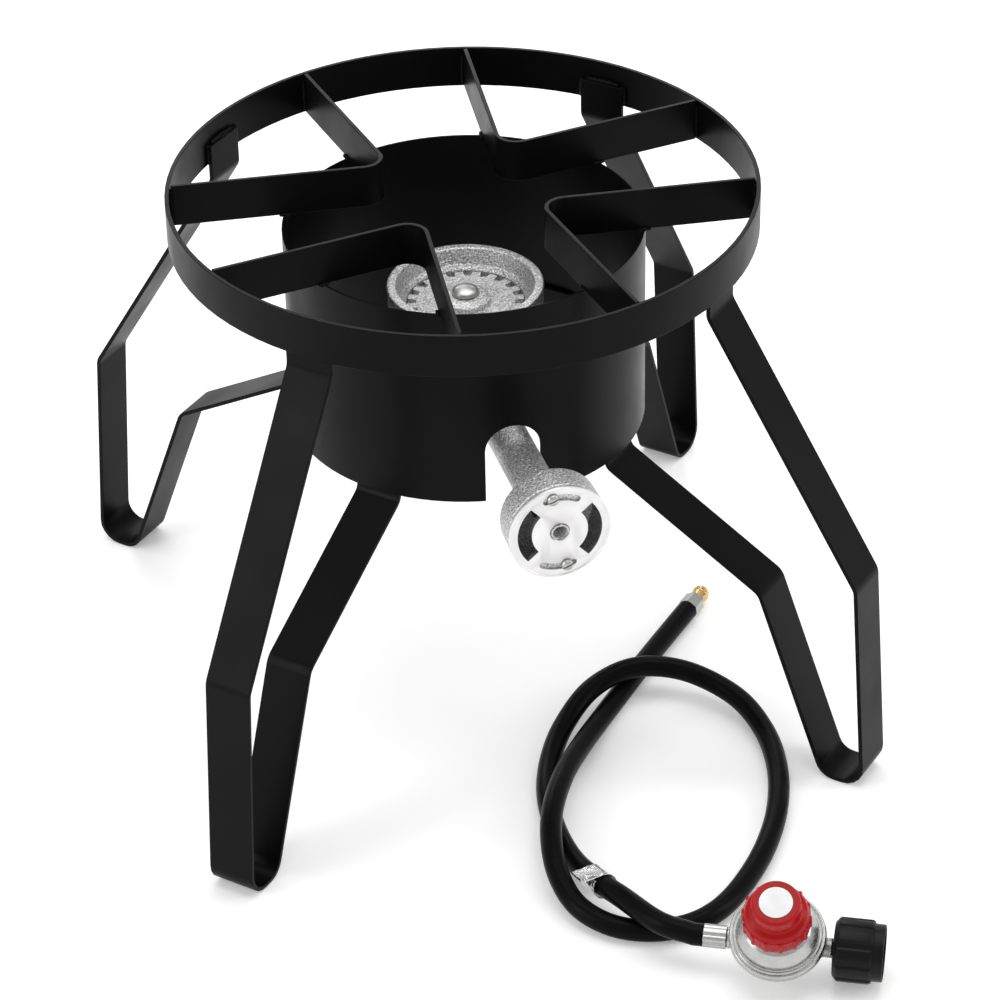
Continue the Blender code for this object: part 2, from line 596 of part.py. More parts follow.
def make_cylinder_end(brass, black, rubber, flow):
    """The brass inlet nipple and the hand nut that screws on to the gas cylinder."""
    nipple = [
        (0.0018, 0.0268), (0.0042, 0.0268), (0.0042, 0.0356), (0.0062, 0.0356), (0.0062, 0.0425),
        (0.0100, 0.0425), (0.0100, 0.0445), (0.0060, 0.0455), (0.0060, 0.0560), (0.0052, 0.0566),
        (0.0052, 0.0590), (0.0058, 0.0596), (0.0058, 0.0620), (0.0040, 0.0650), (0.0018, 0.0650),
    ]
    lathe("inlet_nipple", nipple, brass, flow, steps=20)
    lathe("nipple_seal", [(0.0055, 0.0570), (0.0066, 0.0572), (0.0066, 0.0586), (0.0055, 0.0588)], rubber,
          flow, steps=24)
    lobes = 10
    grip = []
    for i in range(lobes):
        middle = 360 * i / lobes
        grip += arc(0.0208, middle - 9, middle + 9, 2)
        grip += [polar(0.0196, middle + 12.5), polar(0.0196, middle + 360 / lobes - 12.5)]
    nut = prism("hand_nut", grip, 0.0375, 0.0615, black, flow)
    sleeve = [(0, 0.0362), (0.0176, 0.0362), (0.0192, 0.0375), (0.0192, 0.0610), (0.0188, 0.0630),
              (0.0186, 0.0685), (0, 0.0685)]
    cut(nut, lathe("cutter_nut_sleeve", sleeve, black, flow, steps=30), "UNION")
    cut(nut, lathe("cutter_nut_inside", [(0, 0.0300), (0.0068, 0.0300), (0.0068, 0.0420), (0.0166, 0.0420),
                                         (0.0166, 0.0700), (0, 0.0700)], black, flow, steps=24))


def make_regulator_ferrule(zinc, flow):
    """The crimped ferrule, with flat crimp marks round it, between hose and outlet boss."""
    outline = []
    marks = 8
    for i in range(marks):
        middle = 360 * i / marks
        outline += arc(0.0078, middle - 13, middle + 13, 2)
        outline.append(polar(0.0071, middle + 180 / marks))
    start = REGULATOR_HOSE_END + GAP
    prism("ferrule_regulator_end", outline, start, -0.0328 - GAP, zinc, flow, holes=[circle(0.0030, 18)])


# --- assembly -----------------------------------------------------------------------------
def main():
    for obj in list(bpy.data.objects):
        bpy.data.objects.remove(obj)

    black = material("black_powder_coat", (0.013, 0.013, 0.014), 0.42)
    cast = material("cast_aluminium", (0.55, 0.55, 0.54), 0.55, 1.0)
    zinc = material("zinc", (0.74, 0.74, 0.73), 0.32, 1.0)
    steel = material("zinc_plated_steel", (0.62, 0.62, 0.62), 0.30, 1.0)
    brass = material("brass", (0.72, 0.52, 0.22), 0.28, 1.0)
    rubber = material("black_rubber", (0.012, 0.012, 0.012), 0.50)
    plastic = material("black_plastic", (0.015, 0.015, 0.015), 0.40)
    red = material("red_plastic", (0.55, 0.02, 0.02), 0.30)
    white = material("white_label", (0.85, 0.85, 0.85), 0.45)
    foil = material("silver_foil", (0.80, 0.80, 0.80), 0.30, 0.6)

    make_ring(black)
    make_pot_supports(black)
    make_legs(black)
    make_shroud(black)
    make_strap(black)

    turn = Matrix.Rotation(math.radians(BURNER_TURN), 4, "Z")
    burner = axis_frame("burner_frame", turn)
    raised = Matrix.Translation((0, 0, TUBE_HEIGHT))
    tube = axis_frame("tube_frame", raised @ turn @ Matrix.Rotation(math.radians(90), 4, "X"))
    make_bowl(cast, burner, tube)
    make_venturi_tube(cast, tube)
    make_mixer(cast, tube)
    make_flame_ring(cast, burner)
    make_burner_bolt(steel, burner)
    make_air_shutter(zinc, tube)
    make_shutter_screws(steel, tube)

    flow_axis = Vector((*polar(1.0, REGULATOR_AZIMUTH), 0))
    lean = Vector((flow_axis.y, -flow_axis.x, 0))
    roll = math.radians(REGULATOR_ROLL)
    knob_axis = Vector((0, 0, math.cos(roll))) + lean * math.sin(roll)
    castings = REGULATOR_CENTRE + knob_axis * REGULATOR_LIFT
    upright = axis_frame("regulator_frame", frame_matrix(castings, flow_axis, knob_axis))
    flow = axis_frame("flow_frame", frame_matrix(REGULATOR_CENTRE, knob_axis, flow_axis))
    bpy.context.view_layer.update()
    make_hose(rubber, foil, hose_points(flow))
    make_orifice_end(brass, zinc)
    make_regulator_ferrule(zinc, flow)
    make_regulator_body(zinc, flow, upright)
    make_bonnet(zinc, upright)
    make_valve_parts(steel, brass, rubber, flow, upright)
    make_knob(red, white, steel, upright)
    make_cylinder_end(brass, plastic, rubber, flow)


main()
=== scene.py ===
"""Looks of the outdoor propane burner stand: fine surfaces, welds, materials, light and camera.

Everything is in metres in the frame's own axes: +Z up, -Y the front.  Pieces of the burner are
built on the shutter's axis, and pieces of the regulator on the knob's and the hand nut's axes.
"""

import json
import math

import bmesh
import bpy
from mathutils import Matrix, Vector, noise


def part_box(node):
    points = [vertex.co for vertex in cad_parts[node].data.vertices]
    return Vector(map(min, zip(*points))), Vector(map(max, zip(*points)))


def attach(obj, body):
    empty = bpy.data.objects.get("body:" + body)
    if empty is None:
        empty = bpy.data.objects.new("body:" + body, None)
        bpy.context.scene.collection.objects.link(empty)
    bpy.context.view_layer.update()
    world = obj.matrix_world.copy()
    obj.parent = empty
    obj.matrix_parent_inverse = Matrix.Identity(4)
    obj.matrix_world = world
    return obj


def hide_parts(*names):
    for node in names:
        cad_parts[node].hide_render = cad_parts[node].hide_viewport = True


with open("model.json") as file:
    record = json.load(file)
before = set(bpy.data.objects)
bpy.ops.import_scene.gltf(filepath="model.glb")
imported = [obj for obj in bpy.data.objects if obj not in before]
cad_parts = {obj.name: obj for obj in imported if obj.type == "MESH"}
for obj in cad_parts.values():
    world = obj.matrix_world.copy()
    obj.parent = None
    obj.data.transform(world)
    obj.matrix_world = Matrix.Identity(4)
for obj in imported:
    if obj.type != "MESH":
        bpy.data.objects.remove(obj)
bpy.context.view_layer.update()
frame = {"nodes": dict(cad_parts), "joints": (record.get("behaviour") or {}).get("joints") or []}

noise.seed_set(1)            # without it the noise differs from run to run

# --- dimensions ---------------------------------------------------------------------------
MERGE = 1e-6
GAP = 0.0003                 # left between pieces that touch on the real object
BAR_THICK = 0.003
BAR_EDGE = 0.00045           # rounding of the bars' edges under their coat
WELD_RADIUS = 0.0019

RING_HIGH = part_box("top_ring")[1]
RING_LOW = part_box("top_ring")[0]
RING_INNER = RING_HIGH.x - BAR_THICK
RING_BOTTOM = RING_LOW.z
SHROUD_THICK = 0.0015
SHROUD_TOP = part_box("wind_shroud")[1]
SHROUD_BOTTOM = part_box("wind_shroud")[0].z
SHROUD_INNER = SHROUD_TOP.x - SHROUD_THICK
SHROUD_MIDDLE = SHROUD_TOP.x - SHROUD_THICK / 2
LEG_AZIMUTHS = (45, 135, 225, 315)
SUPPORT_TURN = 2.5           # degrees between a support and the leg below it
SUPPORT_END_ANGLE = 27.5     # degrees from a support's middle to its ends on the ring
SUPPORT_ARM_ANGLE = 37.5
TAB_HALF_WIDTH = 0.0170
STRAP_HALF_WIDTH = 0.0127

TUBE_RADIUS = 0.0137
TUBE_BORE = 0.0105
BELL_RADIUS = 0.0340
BELL_FRONT = 0.2168
BELL_DEPTH = 0.028
JET_HOLE_RADIUS = 0.0052
JET_BOSS_RADIUS = 0.0062
JET_BOSS_FRONT = 0.2198
RIM_HEIGHT = 0.3065
RIM_RADIUS = 0.054
SEAT_HEIGHT = 0.2880
FLAME_RING_THICK = 0.0042
DOME_RISE = 0.0060
WINDOW_INNER = 0.0190
WINDOW_OUTER = 0.0285
WINDOW_TURN = -3.5           # degrees
SHUTTER_WINDOW_SPAN = 88
WEB_WINDOW_SPAN = 92
SCREW_CIRCLE = 0.0265
SCREW_AZIMUTHS = (100, 280)
SHUTTER_BACK = 0.2171
SHUTTER_FRONT = 0.2186
SHUTTER_RADIUS = 0.0345

HOSE_RADIUS = 0.0075
TIP_POINT = Vector((0.1590, -0.0112, 0.0080))
TIP_AZIMUTH = 47.0
REGULATOR_LIFT = 0.003       # how far the castings sit above the line from hose to nut
REGULATOR_HOSE_END = -0.0485
OUTLET_END = -0.0328
HOSE_STRAIGHT_END = 0.006
HOSE_POINTS = 301
TAG_FRACTION = 0.92
TAG_LENGTH = 0.018
HOSE_ROUTE = [
    (0.1375, -0.0343, 0.0080), (0.1130, -0.0610, 0.0080), (0.0850, -0.0930, 0.0080),
    (0.0600, -0.1230, 0.0095), (0.0360, -0.1560, 0.0150), (0.0130, -0.1930, 0.0222),
    (-0.0050, -0.2300, 0.0240), (-0.0145, -0.2620, 0.0218), (-0.0170, -0.2900, 0.0165),
    (-0.0113, -0.3158, 0.0110), (0.0048, -0.3367, 0.0084), (0.0282, -0.3489, 0.0080),
    (0.0546, -0.3501, 0.0080), (0.0790, -0.3400, 0.0080), (0.1030, -0.3185, 0.0080),
    (0.1280, -0.2870, 0.0080), (0.1485, -0.2500, 0.0080), (0.1625, -0.2080, 0.0080),
    (0.1670, -0.1650, 0.0082), (0.1580, -0.1260, 0.0120), (0.1300, -0.0970, 0.0190),
    (0.0950, -0.0895, 0.0238), (0.0610, -0.1000, 0.0205), (0.0335, -0.1240, 0.0120),
    (0.0140, -0.1560, 0.0082), (0.0015, -0.1930, 0.0080), (-0.0030, -0.2310, 0.0080),
    (-0.0005, -0.2660, 0.0088), (0.0065, -0.2980, 0.0150), (0.0150, -0.3280, 0.0225),
    (0.0300, -0.3600, 0.0240),
]

CAMERA_PLACE = Vector((-0.5178, -2.1150, 1.5874))
CAMERA_AHEAD = Vector((0.2052, 0.8048, -0.5570)).normalized()
CAMERA_ROLL = -1.154
CAMERA_LENS = 132.9


# --- the frame's axes ---------------------------------------------------------------------
def joint(name):
    return next(item for item in frame["joints"] if item["name"] == name)


def frame_matrix(origin, x_axis, z_axis):
    y_axis = z_axis.cross(x_axis)
    turn = Matrix((x_axis, y_axis, z_axis)).transposed().to_4x4()
    return Matrix.Translation(origin) @ turn


tube_axis = Vector(joint("air_shutter_turn")["axis"]).normalized()
tube_side = Vector((-tube_axis.y, tube_axis.x, 0))
tube_height = joint("air_shutter_turn")["pos_m"][2]
TUBE = frame_matrix(Vector((0, 0, tube_height)), tube_side, tube_axis)
BURNER = frame_matrix(Vector((0, 0, 0)), tube_side, Vector((0, 0, 1)))
knob_axis = Vector(joint("adjusting_knob_turn")["axis"]).normalized()
flow_axis = Vector(joint("hand_nut_spin")["axis"]).normalized()
castings = Vector(joint("adjusting_knob_turn")["pos_m"])
UPRIGHT = frame_matrix(castings, flow_axis, knob_axis)
FLOW = frame_matrix(castings - knob_axis * REGULATOR_LIFT, knob_axis, flow_axis)


# --- shape helpers ------------------------------------------------------------------------
def polar(radius, degrees):
    angle = math.radians(degrees)
    return radius * math.cos(angle), radius * math.sin(angle)


TIP_ALONG = Vector((*polar(1.0, TIP_AZIMUTH), 0))
TIP = frame_matrix(TIP_POINT, Vector((0, 0, 1)), TIP_ALONG)


def arc(radius, start, end, steps, centre=(0.0, 0.0)):
    """Points on an arc from start to end, in degrees, both ends included."""
    points = []
    for i in range(steps + 1):
        x, y = polar(radius, start + (end - start) * i / steps)
        points.append((centre[0] + x, centre[1] + y))
    return points


def circle(radius, steps, centre=(0.0, 0.0)):
    return arc(radius, 0, 360, steps, centre)[:-1]


def rounded(points, radius, steps=4, closed=False):
    """A profile with each corner turned into an arc, as wide as its two sides allow."""
    points = [Vector(point) for point in points]
    count = len(points)
    path = []
    for i, corner in enumerate(points):
        if not closed and i in (0, count - 1):
            path.append(tuple(corner))
            continue
        back = points[i - 1] - corner
        ahead = points[(i + 1) % count] - corner
        half = back.angle(ahead) / 2
        if half > math.radians(86):
            path.append(tuple(corner))
            continue
        reach = min(radius / math.tan(half), back.length * 0.45, ahead.length * 0.45)
        start = corner + back.normalized() * reach
        end = corner + ahead.normalized() * reach
        for step in range(steps + 1):
            t = step / steps
            path.append(tuple(start.lerp(corner, t).lerp(corner.lerp(end, t), t)))
    return path


def ridged(radius, depth, start, end, pitch):
    """A thread's outline along its axis: even ridges between two heights."""
    count = max(1, round(abs(end - start) / pitch))
    points = []
    for i in range(count):
        low = start + (end - start) * i / count
        step = (end - start) / count
        points += [(radius, low + step * 0.10), (radius - depth, low + step * 0.40)]
        points += [(radius - depth, low + step * 0.60), (radius, low + step * 0.90)]
    return points


def catmull_rom(points, per_span):
    """A smooth curve through every point."""
    ends = [points[0] * 2 - points[1], *points, points[-1] * 2 - points[-2]]
    curve = []
    for a, b, c, d in zip(ends, ends[1:], ends[2:], ends[3:]):
        for i in range(per_span):
            t = i / per_span
            curve.append(0.5 * (2 * b + (c - a) * t + (2 * a - 5 * b + 4 * c - d) * t ** 2
                                + (3 * b - a - 3 * c + d) * t ** 3))
    curve.append(points[-1])
    return curve


def even_points(curve, count):
    """Points spaced evenly along a curve, its ends included."""
    lengths = [0.0]
    for a, b in zip(curve, curve[1:]):
        lengths.append(lengths[-1] + (b - a).length)
    points = []
    span = 0
    for i in range(count):
        target = lengths[-1] * i / (count - 1)
        while span < len(curve) - 2 and lengths[span + 1] < target:
            span += 1
        t = (target - lengths[span]) / (lengths[span + 1] - lengths[span])
        points.append(curve[span].lerp(curve[span + 1], min(t, 1.0)))
    return points


def mesh_object(name, bm, matrix=None, sharp=38):
    bmesh.ops.recalc_face_normals(bm, faces=bm.faces)
    mesh = bpy.data.meshes.new(name)
    bm.to_mesh(mesh)
    bm.free()
    if matrix is not None:
        mesh.transform(matrix)
    if "custom_normal" in mesh.attributes:
        mesh.attributes.remove(mesh.attributes["custom_normal"])
    mesh.shade_smooth()
    mesh.set_sharp_from_angle(angle=math.radians(sharp))
    obj = bpy.data.objects.new(name, mesh)
    bpy.context.scene.collection.objects.link(obj)
    return obj


def prism(name, outline, bottom, top, matrix=None, holes=()):
    """An outline with holes, extruded along its own Z."""
    bm = bmesh.new()
    edges = []
    for loop in (outline, *holes):
        verts = [bm.verts.new((x, y, bottom)) for x, y in loop]
        edges += [bm.edges.new((a, b)) for a, b in zip(verts, verts[1:] + verts[:1])]
    bmesh.ops.triangle_fill(bm, edges=edges, use_beauty=True)
    raised = bmesh.ops.extrude_face_region(bm, geom=bm.faces[:], use_keep_orig=True)
    moved = [item for item in raised["geom"] if isinstance(item, bmesh.types.BMVert)]
    bmesh.ops.translate(bm, verts=moved, vec=(0, 0, top - bottom))
    return mesh_object(name, bm, matrix)


def lathe(name, profile, matrix=None, steps=96):
    """A profile of (radius, height) turned about its own Z; a closed loop gives a ring."""
    bm = bmesh.new()
    verts = [bm.verts.new((r, 0, z)) for r, z in profile]
    pairs = list(zip(verts, verts[1:]))
    if profile[0][0] > 0 or profile[-1][0] > 0:
        pairs.append((verts[-1], verts[0]))
    edges = [bm.edges.new(pair) for pair in pairs]
    bmesh.ops.spin(bm, geom=verts + edges, cent=(0, 0, 0), axis=(0, 0, 1), angle=math.tau,
                   steps=steps, use_merge=True)
    bmesh.ops.remove_doubles(bm, verts=bm.verts, dist=MERGE)
    return mesh_object(name, bm, matrix)


def carve(target, tool, operation="DIFFERENCE"):
    """A Boolean that is made at once; the tool is then removed."""
    modifier = target.modifiers.new("carve", "BOOLEAN")
    modifier.operation = operation
    modifier.solver = "EXACT"
    modifier.object = tool
    bpy.context.view_layer.update()
    made = bpy.data.meshes.new_from_object(target.evaluated_get(bpy.context.evaluated_depsgraph_get()))
    target.modifiers.clear()
    target.data = made
    made.shade_smooth()
    made.set_sharp_from_angle(angle=math.radians(38))
    bpy.data.objects.remove(tool)


def soften(obj, width, segments=2, angle=38):
    """Rounds an object's sharp edges, and keeps its flat faces looking flat."""
    bm = bmesh.new()
    bm.from_mesh(obj.data)
    bmesh.ops.remove_doubles(bm, verts=bm.verts, dist=MERGE)
    bmesh.ops.dissolve_limit(bm, angle_limit=math.radians(0.6), verts=bm.verts, edges=bm.edges)
    edges = [e for e in bm.edges if e.is_manifold and e.calc_face_angle() > math.radians(angle)]
    bmesh.ops.bevel(bm, geom=edges, offset=width, offset_type="OFFSET", segments=segments,
                    profile=0.5, affect="EDGES", clamp_overlap=True)
    bm.to_mesh(obj.data)
    bm.free()
    obj.data.shade_smooth()
    obj.data.set_sharp_from_angle(angle=math.radians(50))
    obj.modifiers.new("weighted_normals", "WEIGHTED_NORMAL").keep_sharp = True


def refined(node, width):
    """A copy of a CAD node with its edges rounded."""
    bm = bmesh.new()
    bm.from_mesh(frame["nodes"][node].data)
    bmesh.ops.remove_doubles(bm, verts=bm.verts, dist=MERGE)
    obj = mesh_object(f"{node}_fine", bm)
    soften(obj, width)
    return obj


def show(obj, body, slot, mat, *nodes):
    """Gives a piece its material and its body, and hides the CAD nodes that it stands for."""
    obj.data.materials.clear()
    obj.data.materials.append(mat)
    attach(obj, body)
    if nodes:
        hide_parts(*nodes)
    return obj


# --- materials ----------------------------------------------------------------------------
def material(name, color, roughness, metallic=0.0, specular=0.5, coat=0.0):
    mat = bpy.data.materials.new(name)
    mat.use_nodes = True
    mat.diffuse_color = (*color, 1)
    shader = mat.node_tree.nodes["Principled BSDF"]
    shader.inputs["Base Color"].default_value = (*color, 1)
    shader.inputs["Roughness"].default_value = roughness
    shader.inputs["Metallic"].default_value = metallic
    shader.inputs["Specular IOR Level"].default_value = specular
    shader.inputs["Coat Weight"].default_value = coat
    shader.inputs["Coat Roughness"].default_value = 0.12
    return mat


def add_noise(mat, scale, detail=4.0):
    """A noise over the object's own coordinates; returns its value socket."""
    nodes, links = mat.node_tree.nodes, mat.node_tree.links
    place = nodes.new("ShaderNodeTexCoord")
    texture = nodes.new("ShaderNodeTexNoise")
    texture.inputs["Scale"].default_value = scale
    texture.inputs["Detail"].default_value = detail
    links.new(place.outputs["Object"], texture.inputs["Vector"])
    return texture.outputs["Fac"]


def vary_roughness(mat, source, low, high):
    nodes, links = mat.node_tree.nodes, mat.node_tree.links
    ramp = nodes.new("ShaderNodeMapRange")
    ramp.inputs["From Min"].default_value = 0.3
    ramp.inputs["From Max"].default_value = 0.7
    ramp.inputs["To Min"].default_value = low
    ramp.inputs["To Max"].default_value = high
    links.new(source, ramp.inputs["Value"])
    links.new(ramp.outputs["Result"], nodes["Principled BSDF"].inputs["Roughness"])


def vary_colour(mat, source, dark, light):
    nodes, links = mat.node_tree.nodes, mat.node_tree.links
    ramp = nodes.new("ShaderNodeValToRGB")
    ramp.color_ramp.elements[0].position = 0.32
    ramp.color_ramp.elements[0].color = (*dark, 1)
    ramp.color_ramp.elements[1].position = 0.68
    ramp.color_ramp.elements[1].color = (*light, 1)
    links.new(source, ramp.inputs["Fac"])
    links.new(ramp.outputs["Color"], nodes["Principled BSDF"].inputs["Base Color"])


def add_bump(mat, sources, depth, strength=1.0):
    """Bumps stacked one on another, each with its own depth in metres."""
    nodes, links = mat.node_tree.nodes, mat.node_tree.links
    below = None
    for source, height in zip(sources, depth):
        bump = nodes.new("ShaderNodeBump")
        bump.inputs["Strength"].default_value = strength
        bump.inputs["Distance"].default_value = height
        links.new(source, bump.inputs["Height"])
        if below:
            links.new(below, bump.inputs["Normal"])
        below = bump.outputs["Normal"]
    links.new(below, nodes["Principled BSDF"].inputs["Normal"])


def coated_steel():
    """Satin black powder coat: a fine orange peel and slightly uneven gloss."""
    mat = material("black_powder_coat", (0.0036, 0.0036, 0.0042), 0.34, specular=0.07)
    vary_roughness(mat, add_noise(mat, 22, 3), 0.29, 0.40)
    vary_colour(mat, add_noise(mat, 9, 3), (0.0026, 0.0026, 0.0031), (0.0050, 0.0050, 0.0058))
    add_bump(mat, [add_noise(mat, 900, 2), add_noise(mat, 160, 2)], [0.00003, 0.00006], 0.5)
    return mat


def cast_metal(name, dark, light, coarse):
    """Sand-cast aluminium: pebbled grain; its colour is darker in the pits as painted shade and lighter on
    the bumps as painted highlight, over the metal's own uneven tone.
    """
    mat = material(name, light, 0.5, metallic=1.0)
    grain = add_noise(mat, coarse, 5)
    vary_roughness(mat, grain, 0.32, 0.56)
    # colour follows the grain noise: painted shade in its pits, painted highlight on its bumps, over the
    # metal's own uneven tone
    vary_colour(mat, grain, dark, light)
    add_bump(mat, [add_noise(mat, coarse * 0.7, 3), grain], [0.0011, 0.0005], 0.9)
    return mat


def bright_metal(name, color, low, high, grain=260, depth=0.00002):
    """Plated or turned metal: a light haze and very shallow marks."""
    mat = material(name, color, low, metallic=1.0)
    haze = add_noise(mat, grain, 4)
    vary_roughness(mat, haze, low, high)
    vary_colour(mat, add_noise(mat, grain * 0.3, 3), tuple(c * 0.88 for c in color), color)
    add_bump(mat, [haze], [depth], 0.5)
    return mat


def plain_stuff(name, color, low, high, grain, depth, **looks):
    """Rubber and moulded plastic: even colour, fine surface grain."""
    mat = material(name, color, low, **looks)
    fine = add_noise(mat, grain, 3)
    vary_roughness(mat, add_noise(mat, grain * 0.12, 3), low, high)
    vary_colour(mat, add_noise(mat, grain * 0.08, 3), tuple(c * 0.86 for c in color), color)
    add_bump(mat, [fine], [depth], 0.5)
    return mat


COAT = coated_steel()
CAST = cast_metal("cast_aluminium", (0.26, 0.26, 0.26), (0.92, 0.92, 0.92), 850)
ZINC = bright_metal("zinc", (0.90, 0.90, 0.90), 0.38, 0.46, grain=120, depth=0.000004)
ZINC_CAST = bright_metal("zinc_cast", (0.50, 0.50, 0.49), 0.22, 0.34, grain=500, depth=0.00008)
STEEL = bright_metal("plated_steel", (0.50, 0.50, 0.49), 0.28, 0.40)
BRASS = bright_metal("brass", (0.83, 0.58, 0.24), 0.18, 0.30)
RUBBER = plain_stuff("black_rubber", (0.0040, 0.0040, 0.0044), 0.26, 0.36, 900, 0.00001, specular=0.05)
PLASTIC = plain_stuff("black_plastic", (0.0040, 0.0040, 0.0044), 0.30, 0.42, 1100, 0.00002, specular=0.16)
RED = plain_stuff("red_plastic", (0.40, 0.003, 0.005), 0.24, 0.32, 500, 0.00001, specular=0.18)
LABEL = plain_stuff("white_label", (0.86, 0.86, 0.86), 0.38, 0.50, 800, 0.00001)
FOIL = bright_metal("silver_foil", (0.94, 0.94, 0.94), 0.16, 0.30, grain=120, depth=0.00006)


# --- stage --------------------------------------------------------------------------------
def area_light(name, place, target, size, power):
    data = bpy.data.lights.new(name, "AREA")
    data.shape = "RECTANGLE"
    data.size, data.size_y = size
    data.energy = power
    lamp = bpy.data.objects.new(name, data)
    lamp.location = place
    lamp.rotation_euler = (Vector(target) - Vector(place)).to_track_quat("-Z", "Y").to_euler()
    bpy.context.scene.collection.objects.link(lamp)


def make_stage():
    bm = bmesh.new()
    bmesh.ops.create_grid(bm, x_segments=1, y_segments=1, size=12)
    floor = mesh_object("floor", bm, Matrix.Translation((0, 0, -0.0002)))
    pale = material("pale_floor", (0.93, 0.93, 0.93), 0.75, specular=0.2)
    pale.node_tree.nodes["Principled BSDF"].inputs["Emission Color"].default_value = (1, 1, 1, 1)
    pale.node_tree.nodes["Principled BSDF"].inputs["Emission Strength"].default_value = 0.22
    floor.data.materials.append(pale)
    world = bpy.data.worlds.new("studio")
    world.use_nodes = True
    world.node_tree.nodes["Background"].inputs["Color"].default_value = (1, 1, 1, 1)
    world.node_tree.nodes["Background"].inputs["Strength"].default_value = 0.62
    bpy.context.scene.world = world
    bpy.context.scene.view_settings.view_transform = "Standard"
    middle = (0.0, -0.05, 0.18)
    area_light("top_softbox", (0.15, 0.10, 1.90), middle, (1.7, 1.7), 17)
    area_light("left_softbox", (-1.90, -0.50, 0.95), middle, (0.6, 1.5), 11)
    area_light("right_strip", (1.80, -0.75, 0.90), middle, (0.35, 1.5), 9)
    area_light("back_strip", (0.35, 1.90, 1.15), middle, (1.6, 0.4), 9)


def make_camera():
    level = CAMERA_AHEAD.cross(Vector((0, 0, 1))).normalized()
    up = level.cross(CAMERA_AHEAD)
    roll = math.radians(CAMERA_ROLL)
    across = level * math.cos(roll) + up * math.sin(roll)
    upward = up * math.cos(roll) - level * math.sin(roll)
    data = bpy.data.cameras.new("camera")
    data.lens = CAMERA_LENS
    data.clip_end = 50
    camera = bpy.data.objects.new("camera", data)
    turn = Matrix((across, upward, -CAMERA_AHEAD)).transposed().to_4x4()
    camera.matrix_world = Matrix.Translation(CAMERA_PLACE) @ turn
    bpy.context.scene.collection.objects.link(camera)
    bpy.context.scene.camera = camera


# --- hose ---------------------------------------------------------------------------------
def hose_points():
    """The hose's centreline: a straight end in each ferrule and a smooth route between them."""
    regulator_end = FLOW @ Vector((0, 0, REGULATOR_HOSE_END))
    straight_in = FLOW @ Vector((0, 0, REGULATOR_HOSE_END - HOSE_STRAIGHT_END))
    straight_out = TIP_POINT - TIP_ALONG * HOSE_STRAIGHT_END
    route = [straight_out, *[Vector(point) for point in HOSE_ROUTE], straight_in]
    return [TIP_POINT, *even_points(catmull_rom(route, 24), HOSE_POINTS), regulator_end]


def make_hose(points):
    data = bpy.data.curves.new("hose_fine", "CURVE")
    data.dimensions = "3D"
    data.bevel_depth = HOSE_RADIUS
    data.bevel_resolution = 8
    data.use_fill_caps = True
    data.twist_mode = "Z_UP"
    spline = data.splines.new("POLY")
    spline.points.add(len(points) - 1)
    for place, point in zip(spline.points, points):
        place.co = (*point, 1)
    spline.use_smooth = True
    hose = bpy.data.objects.new("hose_fine", data)
    bpy.context.scene.collection.objects.link(hose)
    return show(hose, "stand", "black_rubber", RUBBER, "hose")


def make_tag(points):
    """A strip of creased foil wrapped round the hose, its flap over the strand beside it."""
    index = 1 + round(TAG_FRACTION * (HOSE_POINTS - 1))
    along = (points[index + 1] - points[index - 1]).normalized()
    side = Vector((0, 0, 1)).cross(along).normalized()
    radius, reach, thick = HOSE_RADIUS + 0.0014, 0.0150, 0.00014
    flat = [(-reach + reach * i / 22, radius) for i in range(22)]
    path = flat + arc(radius, 90, -225, 84)
    across = 30
    bm = bmesh.new()
    rows = []
    for i, (x, y) in enumerate(path):
        row = []
        normal = Vector((x, y)).normalized() if i >= len(flat) else Vector((0, 1))
        for j in range(across + 1):
            z = TAG_LENGTH * (j / across - 0.5)
            z += 0.0005 * noise.noise(Vector((i * 0.11, j * 0.02, 4.0)))
            crease = noise.turbulence(Vector((x * 120, y * 120, z * 120)), 2, True)
            lift = 0.00075 * (crease - 0.45)
            row.append(bm.verts.new((x + normal.x * lift, y + normal.y * lift, z)))
        rows.append(row)
    for a, b in zip(rows, rows[1:]):
        for j in range(across):
            bm.faces.new((a[j], b[j], b[j + 1], a[j + 1]))
    tag = mesh_object("hose_tag_fine", bm, frame_matrix(points[index], side, along), sharp=28)
    tag.modifiers.new("thickness", "SOLIDIFY").thickness = thick
    return show(tag, "stand", "silver_foil", FOIL, "hose_tag")


def make_burner_end():
    """The hexagonal crimp ferrule and the domed brass orifice fitting."""
    length = 0.0130
    hexagon = [polar(0.0140 / 2 / math.cos(math.pi / 6), 60 * i) for i in range(6)]
    ferrule = prism("ferrule_burner_end_fine", hexagon, GAP, length, TIP, holes=[circle(0.0045, 40)])
    soften(ferrule, 0.0005)
    show(ferrule, "stand", "zinc", ZINC_CAST, "ferrule_burner_end")
    start = length + GAP
    outer = [(0.0058, start), (0.0058, start + 0.0020)]
    outer += ridged(0.0050, 0.0004, start + 0.0024, start + 0.0058, 0.0009)
    outer += [(0.0058, start + 0.0063), (0.0063, start + 0.0070), (0.0063, start + 0.0096)]
    outer += [(0.0056, start + 0.0118), (0.0042, start + 0.0129), (0.0026, start + 0.0132)]
    inner = [(0.0008, start + 0.0132), (0.0008, start + 0.0100), (0.0021, start + 0.0085)]
    profile = [(0.0021, 0.0030), (0.0041, 0.0030), (0.0041, start), *rounded(outer, 0.0004), *inner]
    fitting = lathe("orifice_fitting_fine", profile, TIP, steps=64)
    for turn in (0, 90, 180, 270):
        x, y = polar(0.0062, turn + 20)
        lay = Matrix.Rotation(math.radians(90), 4, Vector((-y, x, 0)))
        place = TIP @ Matrix.Translation((x, y, start + 0.0082)) @ lay
        carve(fitting, prism("side_hole", circle(0.0007, 14), -0.0025, 0.0025, place))
    show(fitting, "stand", "brass", BRASS, "orifice_fitting")
    return [ferrule, fitting]


